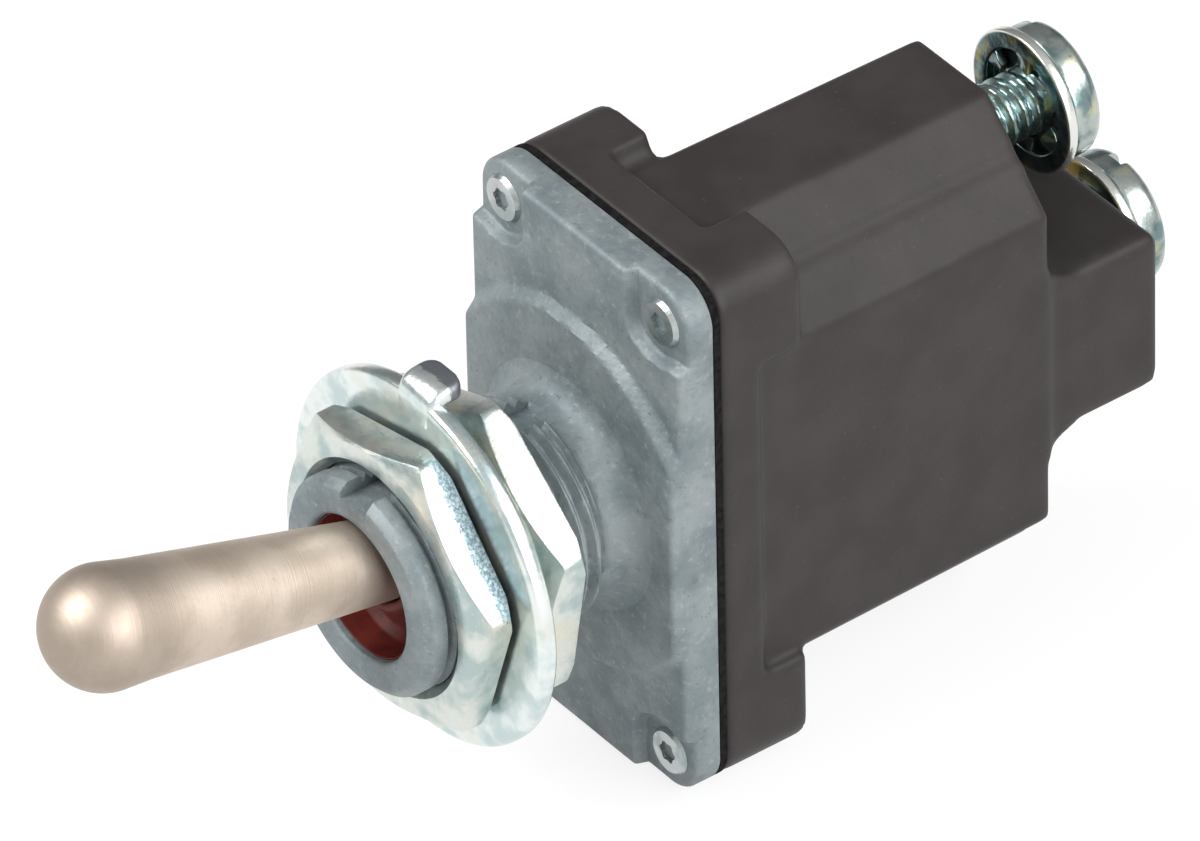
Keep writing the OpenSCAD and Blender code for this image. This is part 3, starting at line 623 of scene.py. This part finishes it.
def plate_front(x, z):
    """How far back the plate's front lies: the cross-shaped face, the round boss in front of it, the four
    corner pockets with a scallop round each rivet, and an edge rounded by a quarter circle."""
    ax, az = np.abs(x), np.abs(z)
    pocket = POCKET_ROUND - np.hypot(np.maximum(POCKET_ROUND - ax + POCKET_X, 0),
                                     np.maximum(POCKET_ROUND - az + POCKET_Z, 0))
    scallop = SCALLOP_R - np.hypot(ax - RIVET_X, az - RIVET_Z)
    sunk = np.maximum(eased(pocket / WALL_SLOPE), eased(scallop / WALL_SLOPE))
    raised = eased((BOSS_R - np.hypot(x, z)) / 0.55 + 0.3)
    over = np.maximum(np.array([ax - HALF_W + PLATE_ROUND, az - HALF_H + PLATE_ROUND]), 0)
    depth = np.maximum(EDGE_ROUND - PLATE_ROUND + np.hypot(*over), 0)
    depth = np.where(over.max(0) > 0, depth, 0)
    edge = EDGE_ROUND - np.sqrt(np.maximum(EDGE_ROUND ** 2 - depth ** 2, 0))
    wave = 0.012 * np.sin(0.9 * x + 0.4 * z) * np.cos(0.5 * z - 0.3 * x)
    return FACE_Y * (1 - raised) + POCKET_DEPTH * sunk + edge + wave * eased(3 * (1 - depth / EDGE_ROUND))


def face_plate():
    """The plate as a slab whose front is a height field; a skirt closes it with a flat back."""
    grid = np.meshgrid(graded(HALF_W, [POCKET_X + 0.25, HALF_W]),
                       graded(HALF_H, [POCKET_Z + 0.25, HALF_H]), indexing="ij")
    x, z = round_corners(*grid, HALF_W, HALF_H, PLATE_ROUND)
    m, n = x.shape
    front = np.stack([x, plate_front(x, z), z], -1).reshape(-1, 3)
    index = np.arange(m * n).reshape(m, n)
    face = np.stack([index[:-1, :-1], index[1:, :-1], index[1:, 1:], index[:-1, 1:]], -1).reshape(-1, 4)
    rim = np.concatenate([index[:-1, 0], index[-1, :-1], index[:0:-1, -1], index[0, :0:-1]])
    count = len(rim)
    skirt, rings = [], [rim]
    for k, (inset, rise) in enumerate([(0, 0.12), (0.035, 0.035), (0.12, 0)]):
        skirt.append(front[rim] * [1 - inset / HALF_W, 0, 1 - inset / HALF_H] + [0, PLATE_BACK - rise, 0])
        rings.append(m * n + k * count + np.arange(count))
    sides = [np.stack([np.roll(a, -1), a, b, np.roll(b, -1)], -1) for a, b in zip(rings, rings[1:])]
    middle = m * n + 3 * count
    back = np.stack([np.roll(rings[-1], -1), rings[-1], np.full(count, middle)], -1)
    points = np.concatenate([front] + skirt + [[[0, PLATE_BACK, 0]]])
    return points, np.concatenate([face] + sides), back


piece("cover_casting", "base", [face_plate(), threaded_bushing()], CAST, ["cover_plate"])


# ---------- lever and boot ----------

def lever_frame():
    """Turns a shape drawn along -Y from the origin so that it points along the lever from its pivot."""
    c, s = math.cos(TILT), math.sin(TILT)
    return [[1, 0, 0], [0, c, s], [0, -s, c]], [0, PIVOT_Y, 0]


def bat_lever():
    """The lever's half section turned about its axis: tail, hub, waist, tapering shank and ball end.

    The ball is an arc that meets the straight shank."""
    ball_s, ball_r = 22.0, 3.2
    mouth_s, mouth_r = 6.438, 2.2
    end_s, end_r = 20.1, 3.02
    arc = np.radians(np.linspace(-3, 90, 40))
    tail = [[1.5, -9.0], [1.9, -9.0], [2.2, -8.7], [2.2, -2.7], [2.55, -2.2], [2.6, 2.2], [2.05, 3.6]]
    shank = np.stack([np.linspace(mouth_r, end_r, 24), np.linspace(mouth_s, end_s, 24)], -1)
    ball = np.stack([ball_r * np.cos(arc), ball_s + ball_r * np.sin(arc)], -1)[:-1]
    return turned(spun(np.concatenate([tail, shank, ball]) * [1, -1], 160), lever_frame())


piece("bat_lever", "lever", [bat_lever()], NICKEL, ["toggle_lever"])


def boot():
    """The boot's rubber: a sheet that leaves the bore's wall, rises in a cone and grips the lever."""
    wall = spun(smooth_steps([[MOUTH_R - 0.01, -12.6], [MOUTH_R - 0.01, -10.9], [BORE_R - 0.02, -10.8],
                              [BORE_R - 0.02, -9.7], [2.4, -9.7], [2.4, -10.5], [3.3, -10.7], [3.72, -11.2],
                              [3.84, -12.6]], 0.12, 3, True), 120, True)
    lip = smooth_steps([[2.12, 2.7], [3.05, 2.7], [3.0, 4.3], [2.6, 4.85], [2.25, 4.9], [2.14, 4.4]],
                       0.2, 3, True)
    collar = turned(spun(lip * [1, -1], 120, True), lever_frame())
    return [wall, collar]


piece("boot_rubber", "base", boot(), RUBBER, ["boot_seal"])


# ---------- mounting hardware ----------

def hex_nut(front, back, turn):
    """A nut as one section carried round its axis: the flats give the outer radius at each angle, the
    chamfers are cones that cut it, and the bore is countersunk at both faces."""
    face_r, hole, sink = NUT_HALF - 0.15, THREAD_R + 0.03, 0.45
    corner_r = NUT_HALF / math.cos(math.radians(30))
    a = np.linspace(0, TAU, 361)[:-1]
    from_flat = (np.degrees(a) - turn) % 60 - 30
    flat = np.minimum(NUT_HALF / np.cos(np.radians(from_flat)), corner_r - 0.06)
    drop = np.maximum((flat - face_r) * math.tan(math.radians(27)), 0)
    lift = np.maximum(flat - (corner_r - 0.5), 0) * 0.66
    one = np.ones_like(a)
    section = [(hole * one, front + sink), (hole * one, back - 0.25), ((hole + 0.25) * one, back),
               (np.minimum(flat, 8.15) - 0.08, back), (flat - 0.02, back - lift - 0.04),
               (flat, back - lift - 0.12), (flat, front + drop + 0.12), (flat - 0.03, front + drop + 0.04),
               (flat - 0.1, front + drop - 0.02 * (drop > 0)),
               (np.minimum(flat - 0.12, face_r + 0.05), front + 0.03),
               (np.minimum(flat - 0.14, face_r - 0.1), front), ((hole + sink) * one, front)]
    r = np.stack([radius for radius, _ in section])
    y = np.stack([height * one for _, height in section])
    return skin(np.stack([r * np.cos(a), y, r * np.sin(a)], -1), loop=True)


for nut, finish in (("front_nut", FROSTED), ("rear_nut", PLATED)):
    low, high = reach(nut)
    shell = hex_nut(low[1], high[1], NUT_TURN[nut])
    piece(nut + "_shell", "base", [shell], finish, [nut], crease=25)


def locating_ring():
    """The ring's rounded section turned about the axis, its keyway tongue, and its tab.

    The tab is a strip whose section is carried along a path that bends back from the rim, and whose
    end is pinched in by a quarter circle."""
    low, high = reach("key_ring")
    front, rim, tab_top = low[1], high[0], high[2]
    back, hole = front + 1.05, THREAD_R + 0.08
    tab_half, tab_thin, end_round = 1.4, 0.52, 0.6
    disc = spun(smooth_steps([[hole, front], [rim, front], [rim, back], [hole, back]],
                             [0.1, 0.42, 0.42, 0.1], 6, True), 240, True)
    tab_y, tab_z = front + 0.5, tab_top - 0.8
    path = smooth_steps([[tab_y, 8.8], [tab_y, tab_z], [high[1], tab_z]], [0, 0.75, 0], 8)
    lip = np.linspace(path[-2, 0], path[-1, 0], 14)[1:]
    path = np.concatenate([path[:-1], np.stack([lip, 0 * lip + path[-1, 1]], -1)])
    near_end = np.clip((path[:, :1] - path[-1, 0] + end_round) / end_round, 0, 1)
    pinch = end_round * (1 - np.sqrt(1 - near_end ** 2))
    step = np.gradient(path, axis=0)
    step /= np.linalg.norm(step, axis=1, keepdims=True)
    out = np.stack([-step[:, 1], step[:, 0]], -1)
    section = filleted([[-tab_half, -tab_thin], [tab_half, -tab_thin],
                        [tab_half, tab_thin], [-tab_half, tab_thin]], 0.4, 5)[0]
    across, through = section[None, :, 0], section[None, :, 1]
    tab = np.stack([across * (1 - pinch / tab_half), path[:, :1] + through * out[:, :1],
                    path[:, 1:] + through * out[:, 1:]], -1)
    tongue = swept(filleted([[-0.95, 5.16], [0.95, 5.16], [0.95, 7.0], [-0.95, 7.0]], 0.12, 3),
                   [[0, back - 0.03], [0, front + 0.05]])
    return [disc, skin(tab), tongue]


piece("locating_ring", "base", locating_ring(), RING, ["key_ring"])


def toothed_washer(front, back, inner, outer, band, teeth, twist, centre, thick, width):
    """A flat band with inward teeth: each tooth is a thinner strip that starts inside the band, and its
    section turns by twist about its own radial line."""
    mid, half, leaf = (front + back) / 2, thick / 2, thick * 0.37
    ring = spun(smooth_steps([[outer - band, mid - half], [outer, mid - half], [outer, mid + half],
                              [outer - band, mid + half]], 0.13, 3, True), 160, True, centre)
    section = filleted([[-width / 2, -leaf], [width / 2, -leaf],
                        [width / 2, leaf], [-width / 2, leaf]], 0.1, 3)[0]
    along, through = section[None, :, 0], section[None, :, 1]
    r = np.linspace(inner, outer - band * 0.45, 12)[:, None]
    lean = np.radians(twist) * eased((outer - band - r) / (outer - band - inner) * 1.5)
    across = along * np.cos(lean) - through * np.sin(lean)
    up = along * np.sin(lean) + through * np.cos(lean)
    parts = [ring]
    for k in range(teeth):
        a = TAU * (k + 0.5) / teeth
        parts.append(skin(np.stack([centre[0] + r * math.cos(a) - across * math.sin(a), mid + up,
                                    centre[1] + r * math.sin(a) + across * math.cos(a)], -1)))
    return parts


low, high = reach("star_washer")
lock_washer = toothed_washer(low[1], high[1], inner=6.05, outer=high[0], band=0.55, teeth=10, twist=22,
                             centre=(0, 0), thick=0.6, width=1.4)
piece("tooth_lock_washer", "base", lock_washer, PLATED, ["star_washer"])


# ---------- terminal screws ----------

def slotted_screw(tip, under, top, centre, turn):
    """A slotted screw: a threaded shank, a head disc, and two lands that leave the slot between them.

    Each land's ring is an arc of the head's circle closed by a chord at the slot's wall."""
    shank_r, head_r, slot_half, slot_deep = 1.75, 3.6, 0.5, 0.75
    land = top - slot_deep
    a = np.linspace(0, TAU, 96, endpoint=False)
    y = np.concatenate([[tip], np.linspace(tip + 0.05, under + 0.1, 150)])[:, None]
    point = 0.75 + 0.25 * np.clip((y - tip) / 0.5, 0, 1)
    r = (shank_r - thread_depth(y, a[None], PITCH, 0.3, 0.3, 0.15)) * point
    shank = skin(np.stack([centre[0] + r * np.sin(a), y + 0 * r, centre[1] + r * np.cos(a)], -1))
    disc = spun(smooth_steps([[0.01, under], [head_r, under], [head_r, land + 0.02], [0.01, land + 0.02]],
                             [0, 0.3, 0.02, 0], 5), 160, False, centre)
    c, s = math.cos(turn), math.sin(turn)
    edge = ((0, -0.12), (0, 0.1), (0.04, 0.28), (0.14, 0.46), (0.3, 0.6), (0.5, 0.7), (0.75, slot_deep))
    lands = []
    for side in (1, -1):
        rings = []
        for inset, rise in edge:
            radius, wall = head_r - inset, slot_half + 0.1 * inset
            limit = math.acos(wall / radius)
            arc = np.linspace(-limit, limit, 70)
            chord = np.linspace(math.sin(limit), -math.sin(limit), 32)[1:-1] * radius
            flat = np.concatenate([radius * np.stack([np.cos(arc), np.sin(arc)], -1),
                                   np.stack([np.full(30, wall), chord], -1)])
            flat = flat @ np.array([[c, s], [-s, c]]) * side + centre
            rings.append(np.stack([flat[:, 0], np.full(100, land + rise), flat[:, 1]], -1))
        lands.append(skin(np.stack(rings)))
    return [shank, disc] + lands


for where, turn in (("top", 0.5), ("middle", 0.0)):
    low, high = reach(where + "_screw")
    centre = ((low[0] + high[0]) / 2, (low[2] + high[2]) / 2)
    washer_high = reach(where + "_screw_washer")[1]
    seat, outer = washer_high[1], washer_high[0] - centre[0]
    piece(where + "_screw_steel", where + "_screw", slotted_screw(low[1], seat, high[1], centre, turn),
          terminal_plate(where + "_screw_plating", seat), [where + "_screw"])
    washer = toothed_washer(seat - 0.75, seat + 0.02, inner=2.0, outer=outer, band=1.05, teeth=6, twist=17,
                            centre=centre, thick=0.55, width=1.15)
    plating = washer_plate(where + "_washer_plating", centre, outer)
    piece(where + "_washer_steel", where + "_washer", washer, plating,
          [where + "_screw_washer"])


# ---------- studio ----------

def white_room():
    """A world that is white where it is seen and a soft gradient where it only lights the switch."""
    world = bpy.data.worlds.new("white_room")
    bpy.context.scene.world = world
    world.use_nodes = True
    tree = world.node_tree
    rays = tree.nodes.new("ShaderNodeLightPath").outputs
    seen = Flow(tree, rays["Is Camera Ray"]).most(Flow(tree, rays["Is Transmission Ray"]))
    where = tree.nodes.new("ShaderNodeSeparateXYZ")
    tree.links.new(tree.nodes.new("ShaderNodeTexCoord").outputs["Generated"], where.inputs[0])
    x, y, z = (Flow(tree, where.outputs[axis]) for axis in "XYZ")
    room = 0.2 + 0.56 * (x * 0.75 - y * 0.3 + z * 0.35).ramp(-0.75, 0.8)
    back = tree.nodes["Background"]
    back.inputs["Color"].default_value = (1, 1, 1, 1)
    plug(tree, back.inputs["Strength"], seen.most(room))


def white_floor():
    """A white floor under the switch that keeps its soft shadow."""
    half, below = 1.5, 0.0002
    floor_z = CAD_BOX[0][2] - below
    corners = [(-half, -half, floor_z), (half, -half, floor_z), (half, half, floor_z), (-half, half, floor_z)]
    mesh = bpy.data.meshes.new("floor")
    mesh.from_pydata(corners, [], [(0, 1, 2, 3)])
    floor = bpy.data.objects.new("floor", mesh)
    bpy.context.scene.collection.objects.link(floor)
    paper = bpy.data.materials.new("floor_paper")
    paper.use_nodes = True
    tree = paper.node_tree
    nodes, links = tree.nodes, tree.links
    shade, glow = nodes["Principled BSDF"], nodes.new("ShaderNodeEmission")
    shade.inputs["Base Color"].default_value = (0.9, 0.9, 0.9, 1)
    shade.inputs["Roughness"].default_value = 0.9
    glow.inputs["Color"].default_value = (1, 1, 1, 1)
    rays = nodes.new("ShaderNodeLightPath").outputs
    seen = Flow(tree, rays["Is Camera Ray"]).most(Flow(tree, rays["Is Glossy Ray"]))
    mix = nodes.new("ShaderNodeMixShader")
    plug(tree, mix.inputs[0], seen * 0.82)
    links.new(shade.outputs[0], mix.inputs[1])
    links.new(glow.outputs[0], mix.inputs[2])
    links.new(mix.outputs[0], nodes["Material Output"].inputs["Surface"])
    mesh.materials.append(paper)


def soft_panels():
    """Three square lamps that face the middle of the switch."""
    aim = Vector((0, 0.006, 0))
    for name, spot, size, power in (("key_panel", (-0.25, -0.45, 0.55), 0.5, 8.0),
                                    ("side_panel", (0.6, 0.05, 0.3), 0.5, 4.4),
                                    ("back_panel", (0.45, 0.36, 0.48), 0.4, 2.0)):
        lamp = bpy.data.lights.new(name, "AREA")
        lamp.shape, lamp.size, lamp.energy = "SQUARE", size, power
        lit = bpy.data.objects.new(name, lamp)
        lit.location = spot
        lit.rotation_euler = (Vector(spot) - aim).to_track_quat("Z", "Y").to_euler()
        bpy.context.scene.collection.objects.link(lit)


def camera():
    """A long lens that looks down on the front right of the switch, level but for a slight roll."""
    turn, height, roll = math.radians(53.33), math.radians(38.42), math.radians(1.28)
    beside, above, distance = 0.001246, 0.003008, 0.9813
    right = Vector((math.cos(turn), math.sin(turn), 0))
    up = Vector((-math.sin(height) * math.sin(turn), math.sin(height) * math.cos(turn), math.cos(height)))
    back = Vector((math.sin(turn) * math.cos(height), -math.cos(turn) * math.cos(height), math.sin(height)))
    r = right * math.cos(roll) - up * math.sin(roll)
    u = right * math.sin(roll) + up * math.cos(roll)
    spot = Vector((0, 0.0004, 0)) + r * beside + u * above + back * distance
    lens = bpy.data.cameras.new("camera")
    lens.lens, lens.sensor_width, lens.sensor_fit = 600, 36, "HORIZONTAL"
    lens.clip_start, lens.clip_end = 0.05, 20
    eye = bpy.data.objects.new("camera", lens)
    eye.matrix_world = Matrix(((r.x, u.x, back.x, spot.x), (r.y, u.y, back.y, spot.y),
                               (r.z, u.z, back.z, spot.z), (0, 0, 0, 1)))
    bpy.context.scene.collection.objects.link(eye)
    bpy.context.scene.camera = eye


white_room()
white_floor()
soft_panels()
camera()
bpy.context.scene.view_settings.view_transform = "Standard"
